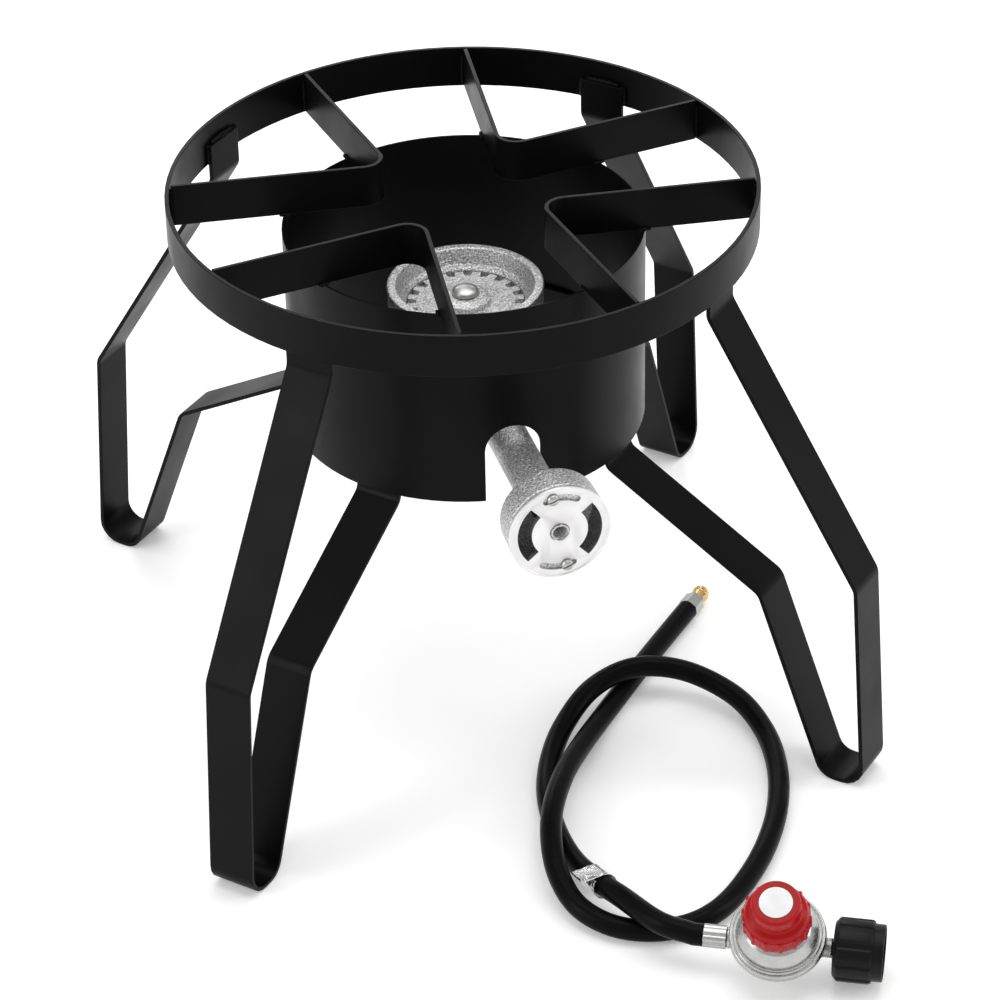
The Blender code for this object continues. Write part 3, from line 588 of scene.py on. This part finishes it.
# --- stand --------------------------------------------------------------------------------
def make_bars():
    """Ring, supports, legs, shroud and strap keep their CAD shape, with rounded edges."""
    bars = ["top_ring", "wind_shroud", "burner_strap"]
    bars += [name for name in frame["nodes"] if name.startswith(("pot_support_", "leg_"))]
    for node in sorted(bars):
        width = BAR_EDGE if node != "wind_shroud" else BAR_EDGE * 0.8
        show(refined(node, width), "stand", "black_powder_coat", COAT, node)


def add_bead(bm, start, end, radius, seed):
    """A lumpy weld bead between two points, pinched at both ends."""
    start, end = Vector(start), Vector(end)
    along = (end - start).normalized()
    side = along.orthogonal().normalized()
    up = along.cross(side)
    rings = max(5, round((end - start).length / 0.0008))
    sides = 10
    loops = []
    for i in range(rings + 1):
        t = i / rings
        wobble = noise.noise_vector(Vector((i * 0.35, seed * 3.7, 1.0))) * radius * 0.28
        scale = math.sin(math.pi * (0.10 + 0.80 * t)) ** 0.4
        ripple = 1 + 0.13 * math.sin(i * 1.9) + 0.20 * noise.noise(Vector((i * 0.5, seed, 7.0)))
        middle = start.lerp(end, t) + wobble
        loop = []
        for k in range(sides):
            x, y = polar(radius * scale * ripple, 360 * k / sides)
            loop.append(bm.verts.new(middle + side * x + up * y))
        loops.append(loop)
    for a, b in zip(loops, loops[1:]):
        for k in range(sides):
            bm.faces.new((a[k], a[(k + 1) % sides], b[(k + 1) % sides], b[k]))
    bm.faces.new(loops[0][::-1])
    bm.faces.new(loops[-1])


def on_azimuth(radius, tangent, height, azimuth):
    """A point out along an azimuth and aside from it."""
    out, aside = Vector(polar(1, azimuth)), Vector(polar(1, azimuth + 90))
    flat = out * radius + aside * tangent
    return flat.x, flat.y, height


def weld_group(name, beads, radius=WELD_RADIUS):
    bm = bmesh.new()
    for seed, (start, end) in enumerate(beads):
        add_bead(bm, start, end, radius, seed + len(name))
    show(mesh_object(name, bm, sharp=80), "stand", "black_powder_coat", COAT)


def make_welds():
    top = RING_HIGH.z
    support_ends, support_feet, ring_tabs, shroud_tabs = [], [], [], []
    arm = math.radians(SUPPORT_ARM_ANGLE)
    end = Vector(polar(RING_INNER, SUPPORT_END_ANGLE))
    nose = end.x - end.y / math.tan(arm)
    half = nose * math.cos(arm)
    reach = -half + math.sqrt(half ** 2 + SHROUD_MIDDLE ** 2 - nose ** 2)
    crossing = Vector((nose + reach * math.cos(arm), reach * math.sin(arm)))
    for azimuth in LEG_AZIMUTHS:
        for side in (-1, 1):
            turned = azimuth + SUPPORT_TURN + side * SUPPORT_END_ANGLE
            for edge in (-0.0022, 0.0022):
                support_ends.append((on_azimuth(RING_INNER - 0.0009, edge, RING_BOTTOM + 0.002, turned),
                                     on_azimuth(RING_INNER - 0.0009, edge, top - 0.004, turned)))
            way = Vector((math.cos(arm), side * math.sin(arm)))
            across = Vector((-way.y, way.x))
            spot = Vector((crossing.x, side * crossing.y))
            for edge in (-1, 1):
                near = spot + across * edge * 0.0023 - way * 0.0040
                far = spot + across * edge * 0.0023 + way * 0.0040
                height = RING_BOTTOM + 0.0002
                support_feet.append([on_azimuth(point.x, point.y, height, azimuth + SUPPORT_TURN)
                                     for point in (near, far)])
            tab = side * TAB_HALF_WIDTH
            ring_face = math.sqrt(RING_INNER ** 2 - TAB_HALF_WIDTH ** 2) - 0.0008
            ring_tabs.append((on_azimuth(ring_face, tab, RING_BOTTOM + 0.001, azimuth),
                              on_azimuth(ring_face, tab, 0.3705, azimuth)))
            shroud_face = math.sqrt(SHROUD_INNER ** 2 - TAB_HALF_WIDTH ** 2) - 0.0008
            shroud_tabs.append((on_azimuth(shroud_face, tab, SHROUD_BOTTOM + 0.002, azimuth),
                                on_azimuth(shroud_face, tab, 0.2395, azimuth)))
        ring_tabs.append((on_azimuth(RING_INNER - 0.0016, -0.013, 0.3708, azimuth),
                          on_azimuth(RING_INNER - 0.0016, 0.013, 0.3708, azimuth)))
    weld_group("welds_support_ends", support_ends, WELD_RADIUS * 0.8)
    weld_group("welds_shroud_supports", support_feet, WELD_RADIUS * 0.7)
    weld_group("welds_leg_ring", ring_tabs)
    weld_group("welds_leg_shroud", shroud_tabs)
    strap_face = math.sqrt(SHROUD_INNER ** 2 - STRAP_HALF_WIDTH ** 2) - 0.0008
    strap = [(on_azimuth(strap_face, edge, 0.2290, turn), on_azimuth(strap_face, edge, 0.2392, turn))
             for turn in (0, 180) for edge in (-STRAP_HALF_WIDTH, STRAP_HALF_WIDTH)]
    weld_group("welds_strap", strap)


# --- burner -------------------------------------------------------------------------------
def window_outline(middle, span, grow=0.0):
    start, end = middle - span / 2, middle + span / 2
    corners = arc(WINDOW_OUTER + grow, start, end, 30) + arc(WINDOW_INNER - grow, end, start, 24)
    return rounded(corners, 0.0006, steps=2, closed=True)


def make_casting():
    """Bowl, venturi tube and mixer bell, with cast fillets and a threaded jet boss."""
    bowl = [
        (0, 0.2262), (0.0150, 0.2262), (0.0178, 0.2290), (0.0178, 0.2555), (0.0260, 0.2605),
        (0.0430, 0.2632), (0.0500, 0.2690), (0.0528, 0.2780), (RIM_RADIUS, RIM_HEIGHT),
        (RIM_RADIUS - 0.0064, RIM_HEIGHT), (0.0440, 0.2960), (0.0406, 0.2925),
        (0.0406, SEAT_HEIGHT), (0.0360, SEAT_HEIGHT), (0.0350, 0.2720), (0.0320, 0.2685), (0, 0.2685),
    ]
    casting = lathe("burner_casting_fine", rounded(bowl, 0.0018, steps=4), BURNER)
    back = BELL_FRONT - BELL_DEPTH
    outside = [
        (0, 0), (TUBE_RADIUS, 0), (TUBE_RADIUS, back - 0.004), (TUBE_RADIUS + 0.0020, back),
        (BELL_RADIUS - 0.0040, back + 0.0010), (BELL_RADIUS - 0.0006, back + 0.0050),
        (BELL_RADIUS, BELL_FRONT - 0.0032), (BELL_RADIUS - 0.0006, BELL_FRONT - 0.0026),
        (BELL_RADIUS - 0.0002, BELL_FRONT), (0, BELL_FRONT),
    ]
    carve(casting, lathe("tube_outside", rounded(outside, 0.0022, steps=5), TUBE, steps=112), "UNION")
    boss = [
        (0, BELL_FRONT - 0.002), (JET_BOSS_RADIUS, BELL_FRONT - 0.002),
        (JET_BOSS_RADIUS, JET_BOSS_FRONT), (0, JET_BOSS_FRONT),
    ]
    carve(casting, lathe("jet_boss_fine", rounded(boss, 0.0003), TUBE, steps=64), "UNION")
    web_back = BELL_FRONT - 0.003
    boss_back = BELL_FRONT - 0.011
    mouth = JET_BOSS_FRONT + 0.002
    inside = [(0, -0.005), (TUBE_BORE, -0.005), (TUBE_BORE, back), (0.0290, back + 0.0060),
              (0.0300, back + 0.0100), (0.0300, web_back), (0.0095, web_back), (0.0095, boss_back)]
    inside += ridged(JET_HOLE_RADIUS, 0.0005, boss_back, JET_BOSS_FRONT - 0.0009, 0.00127)
    inside += [(JET_HOLE_RADIUS, mouth), (0, mouth)]
    carve(casting, lathe("tube_inside", inside, TUBE, steps=80))
    carve(casting, prism("throat", circle(0.0120, 48), 0.2325, 0.2700, BURNER))
    carve(casting, prism("bolt_hole", circle(0.0044, 32), 0.2200, 0.2350, BURNER))
    for side in (0, 180):
        window = window_outline(WINDOW_TURN + side, WEB_WINDOW_SPAN, grow=0.0004)
        carve(casting, prism("window", window, web_back - 0.002, BELL_FRONT + 0.002, TUBE))
    for azimuth in SCREW_AZIMUTHS:
        hole = circle(0.0020, 24, polar(SCREW_CIRCLE, azimuth))
        carve(casting, prism("screw_hole", hole, web_back - 0.002, BELL_FRONT + 0.002, TUBE))
    show(casting, "stand", "cast_aluminium", CAST, "burner_bowl", "venturi_tube", "mixer_bell", "mixer_web",
         "jet_boss")


def make_flame_ring():
    """The toothed ring on the bowl's ledge, with its domed middle."""
    notches = 20
    outer, root = 0.0402, 0.0340
    pitch = 360 / notches
    outline = []
    for i in range(notches):
        middle = i * pitch
        outline += arc(outer, middle + pitch * 0.27, middle + pitch * 0.73, 6)
        outline += arc(root, middle + pitch * 0.80, middle + pitch * 1.20, 4)
    bottom = SEAT_HEIGHT + GAP
    top = bottom + FLAME_RING_THICK
    ring = prism("flame_ring_fine", outline, bottom, top, BURNER, holes=[circle(0.0044, 32)])
    soften(ring, 0.0004)
    ring.modifiers.clear()
    dome = [(0.0044, top - 0.002), (0.0180, top - 0.002), (0.0172, top + 0.0030),
            (0.0125, top + 0.0055), (0.0044, top + DOME_RISE)]
    carve(ring, lathe("dome", rounded(dome, 0.0016), BURNER, steps=72), "UNION")
    step = [(0.0325, top - 0.0007), (0.0420, top - 0.0007), (0.0420, top + 0.001), (0.0325, top + 0.001)]
    carve(ring, lathe("step", step, BURNER, steps=72))
    show(ring, "stand", "cast_aluminium", CAST, "flame_ring")


def make_burner_fasteners():
    head = SEAT_HEIGHT + GAP + FLAME_RING_THICK + DOME_RISE + GAP
    profile = [(0, 0.2115), (0.0036, 0.2115), (0.0040, 0.2119)]
    profile += ridged(0.0040, 0.0004, 0.2121, 0.2225, 0.00125)
    profile += [(0.0040, 0.2230), (0.0040, head), (0.0095, head), (0.0095, head + 0.001)]
    profile += [(r * 1.05, head + 0.001 + z * 0.45) for r, z in arc(0.0090, 0, 90, 14)[1:-1]]
    profile.append((0, head + 0.001 + 0.0090 * 0.45))
    show(lathe("burner_bolt_fine", profile, BURNER, steps=56), "stand", "plated_steel", STEEL, "burner_bolt")
    for node in ("burner_washer", "burner_nut"):
        show(refined(node, 0.0003), "stand", "plated_steel", STEEL, node)


def make_air_shutter():
    """The bright pressed disc, with a raised rim, two air windows and two curved slots."""
    holes = [circle(0.0066, 56)]
    for side in (0, 180):
        holes.append(window_outline(WINDOW_TURN + side, SHUTTER_WINDOW_SPAN))
    half_width, half_span = 0.0023, 23
    for side in (90, 270):
        start, end = WINDOW_TURN + side - half_span, WINDOW_TURN + side + half_span
        slot = arc(SCREW_CIRCLE + half_width, start, end, 20)
        slot += arc(half_width, end, end + 180, 8, polar(SCREW_CIRCLE, end))[1:-1]
        slot += arc(SCREW_CIRCLE - half_width, end, start, 20)
        slot += arc(half_width, start + 180, start + 360, 8, polar(SCREW_CIRCLE, start))[1:-1]
        holes.append(slot)
    edge = circle(SHUTTER_RADIUS, 128)
    disc = prism("air_shutter_fine", edge, SHUTTER_BACK, SHUTTER_FRONT, TUBE, holes=holes)
    soften(disc, 0.00022)
    disc.modifiers.clear()
    inner = SHUTTER_RADIUS - 0.0017
    rim = [(inner, SHUTTER_FRONT - 0.0006), (SHUTTER_RADIUS - 0.0002, SHUTTER_FRONT - 0.0006),
           (SHUTTER_RADIUS - 0.0002, SHUTTER_FRONT + 0.0006), (inner + 0.0004, SHUTTER_FRONT + 0.0006)]
    carve(disc, lathe("raised_rim", rounded(rim, 0.0004, closed=True), TUBE, steps=128), "UNION")
    show(disc, "air_shutter", "zinc", ZINC, "air_shutter")


def make_shutter_screws():
    under_head = SHUTTER_FRONT + GAP
    shank, head, height = 0.0017, 0.0040, 0.0024
    for number, azimuth in enumerate(SCREW_AZIMUTHS, start=1):
        crown = [
            (head, under_head), (head, under_head + height * 0.40),
            (head * 0.84, under_head + height * 0.80),
            (head * 0.48, under_head + height), (0, under_head + height),
        ]
        profile = [(0, BELL_FRONT - 0.0025), (shank, BELL_FRONT - 0.0025), (shank, under_head)]
        profile += rounded(crown, 0.0006)
        place = TUBE @ Matrix.Translation((*polar(SCREW_CIRCLE, azimuth), 0))
        screw = lathe(f"shutter_screw_{number}_fine", profile, place, steps=40)
        blade = [(-0.005, -0.00055), (0.005, -0.00055), (0.005, 0.00055), (-0.005, 0.00055)]
        driver = prism("driver_slot", blade, under_head + height * 0.45, under_head + height + 0.001,
                       place @ Matrix.Rotation(math.radians(20), 4, "Z"))
        carve(screw, driver)
        show(screw, "stand", "plated_steel", STEEL, f"shutter_screw_{number}")


# --- regulator ----------------------------------------------------------------------------
def make_regulator_body():
    bowl = [
        (0, -0.0135), (0.0120, -0.0135), (0.0165, -0.0110), (0.0205, -0.0030), (0.0285, 0.0034),
        (0.0295, 0.0045), (0.0295, 0.0075), (0, 0.0075),
    ]
    body = lathe("regulator_body_fine", rounded(bowl, 0.0014), UPRIGHT)
    bosses = [(0, OUTLET_END), (0.0062, OUTLET_END), (0.0071, -0.0324), (0.0071, -0.0308), (0.0060, -0.0302),
              (0.0060, -0.0290), (0.0068, -0.0282), (0.0068, 0.0290), (0.0060, 0.0296)]
    bosses += [*ridged(0.0066, 0.0005, 0.0300, 0.0348, 0.0012), (0.0062, 0.0352), (0, 0.0352)]
    carve(body, lathe("bosses", bosses, FLOW, steps=64), "UNION")
    chamber = [(0, -0.0065), (0.0140, -0.0065), (0.0185, -0.0015), (0.0230, 0.0100), (0, 0.0100)]
    carve(body, lathe("chamber", chamber, UPRIGHT, steps=48))
    for name, radius, start, end in (("outlet", 0.0030, -0.0400, -0.0150), ("inlet", 0.0046, 0.0260, 0.0400),
                                     ("nozzle", 0.0014, 0.0150, 0.0300)):
        carve(body, prism(name, circle(radius, 28), start, end, FLOW))
    return show(body, "stand", "zinc", ZINC_CAST, "regulator_body")


def make_bonnet():
    """The upper casting: a crimped rim with two ridges, a cone and the knob's neck."""
    outer = [
        (0.0298, 0.0045), (0.0311, 0.0045), (0.0314, 0.0056), (0.0314, 0.0092), (0.0308, 0.0104),
        (0.0299, 0.0107), (0.0293, 0.0100), (0.0288, 0.0107), (0.0281, 0.0116), (0.0274, 0.0109),
        (0.0268, 0.0118), (0.0262, 0.0150), (0.0215, 0.0215), (0.0176, 0.0243), (0.0162, 0.0255),
        (0.0162, 0.0350), (0.0053, 0.0350),
    ]
    inner = [(0.0053, 0.0310), (0.0115, 0.0310), (0.0115, 0.0170), (0.0230, 0.0130), (0.0235, 0.0091),
             (0.0298, 0.0091)]
    bonnet = lathe("regulator_bonnet_fine", rounded(outer, 0.0006, steps=3) + inner, UPRIGHT, steps=112)
    return show(bonnet, "stand", "zinc", ZINC_CAST, "regulator_bonnet")


def make_knob():
    """The two-tier red knob with thin ribs round its skirt, and its blank label."""
    ribs = 14
    skirt = []
    for i in range(ribs):
        middle = 360 * i / ribs
        skirt += arc(0.0225, middle - 2.4, middle + 2.4, 3)
        skirt += arc(0.0216, middle + 4.2, middle + 360 / ribs - 4.2, 8)
    knob = prism("adjusting_knob_fine", skirt, 0.0275, 0.0388, UPRIGHT)
    soften(knob, 0.0003)
    knob.modifiers.clear()
    cap = [(0, 0.0370), (0.0212, 0.0370), (0.0212, 0.0392), (0.0197, 0.0424), (0.0170, 0.0437),
           (0.0163, 0.0450), (0.0160, 0.0538), (0.0149, 0.0555), (0, 0.0555)]
    carve(knob, lathe("cap", rounded(cap, 0.0010), UPRIGHT, steps=112), "UNION")
    hollow = [
        (0, 0.0200), (0.0168, 0.0200), (0.0168, 0.0360),
        (0.0056, 0.0360), (0.0056, 0.0500), (0, 0.0500),
    ]
    carve(knob, lathe("hollow", hollow, UPRIGHT, steps=72))
    carve(knob, prism("label_recess", circle(0.0112, 80), 0.0549, 0.0565, UPRIGHT))
    show(knob, "adjusting_knob", "red_plastic", RED, "adjusting_knob")
    disc = [(0, 0.0552), (0.0108, 0.0552), (0.0108, 0.0557), (0, 0.0557)]
    label = lathe("knob_label_fine", rounded(disc, 0.0002), UPRIGHT, steps=80)
    show(label, "adjusting_knob", "white_label", LABEL, "knob_label")
    return [knob, label]


def make_cylinder_end():
    """The brass inlet nipple and the black hand nut with its chamfered grip lobes."""
    nipple = [
        (0.0018, 0.0268), (0.0042, 0.0268), (0.0042, 0.0356), (0.0062, 0.0356), (0.0062, 0.0425),
        (0.0100, 0.0425), (0.0100, 0.0445), (0.0060, 0.0455), (0.0060, 0.0560), (0.0052, 0.0566),
        (0.0052, 0.0590), (0.0058, 0.0596), (0.0058, 0.0620), (0.0040, 0.0650), (0.0018, 0.0650),
    ]
    stem = lathe("inlet_nipple_fine", rounded(nipple, 0.0004, closed=True), FLOW, steps=64)
    show(stem, "stand", "brass", BRASS, "inlet_nipple")
    lobes = 10
    grip = []
    for i in range(lobes):
        middle = 360 * i / lobes
        grip += arc(0.0208, middle - 10, middle + 10, 6)
        grip += arc(0.0196, middle + 13.5, middle + 360 / lobes - 13.5, 4)
    nut = prism("hand_nut_fine", grip, 0.0375, 0.0615, FLOW)
    envelope = [
        (0, 0.0362), (0.0180, 0.0362), (0.0213, 0.0400),
        (0.0213, 0.0586), (0.0191, 0.0630), (0, 0.0630),
    ]
    carve(nut, lathe("chamfers", rounded(envelope, 0.0008), FLOW, steps=80), "INTERSECT")
    soften(nut, 0.0004)
    nut.modifiers.clear()
    sleeve = [(0, 0.0362), (0.0176, 0.0362), (0.0191, 0.0378), (0.0191, 0.0606), (0.0187, 0.0622),
              (0.0186, 0.0678), (0.0182, 0.0685), (0, 0.0685)]
    carve(nut, lathe("sleeve", rounded(sleeve, 0.0006), FLOW, steps=96), "UNION")
    hollow = [(0, 0.0300), (0.0068, 0.0300), (0.0068, 0.0420), (0.0168, 0.0420)]
    hollow += ridged(0.0172, 0.0007, 0.0440, 0.0672, 0.0029)
    hollow += [(0.0173, 0.0676), (0.0173, 0.0700), (0, 0.0700)]
    carve(nut, lathe("threaded_hollow", hollow, FLOW, steps=80))
    show(nut, "hand_nut", "black_plastic", PLASTIC, "hand_nut")
    return [stem, nut]


def make_regulator_ferrule():
    """The crimped ferrule, pressed flat in a row of marks round it."""
    marks = 8
    outline = []
    for i in range(marks):
        middle = 360 * i / marks
        outline += arc(0.0078, middle - 13, middle + 13, 6)
        outline += [polar(0.0070, middle + 180 / marks)]
    start, end = REGULATOR_HOSE_END + GAP, OUTLET_END - GAP
    ferrule = prism("ferrule_regulator_end_fine", outline, start, end, FLOW, holes=[circle(0.0030, 32)])
    soften(ferrule, 0.0004)
    return show(ferrule, "stand", "zinc", ZINC_CAST, "ferrule_regulator_end")


def paint_inner_parts():
    """What works inside the regulator keeps its CAD shape and gets its material."""
    looks = {
        "diaphragm": RUBBER, "nipple_seal": RUBBER, "valve_plunger": BRASS, "diaphragm_plate": STEEL,
        "spring_seat": STEEL, "adjusting_spring": STEEL, "valve_lever": STEEL, "adjusting_screw": STEEL,
    }
    for node, mat in looks.items():
        obj = frame["nodes"][node]
        obj.data.materials.clear()
        obj.data.materials.append(mat)
    return [frame["nodes"][node] for node in looks]


# --- assembly -----------------------------------------------------------------------------
make_camera()
centreline = hose_points()
hose = make_hose(centreline)
kit = [make_tag(centreline), *make_burner_end(), make_regulator_ferrule()]
kit += [make_regulator_body(), make_bonnet(), *make_knob(), *make_cylinder_end(), *paint_inner_parts()]

make_stage()
make_bars()
make_welds()
make_casting()
make_flame_ring()
make_burner_fasteners()
make_air_shutter()
make_shutter_screws()
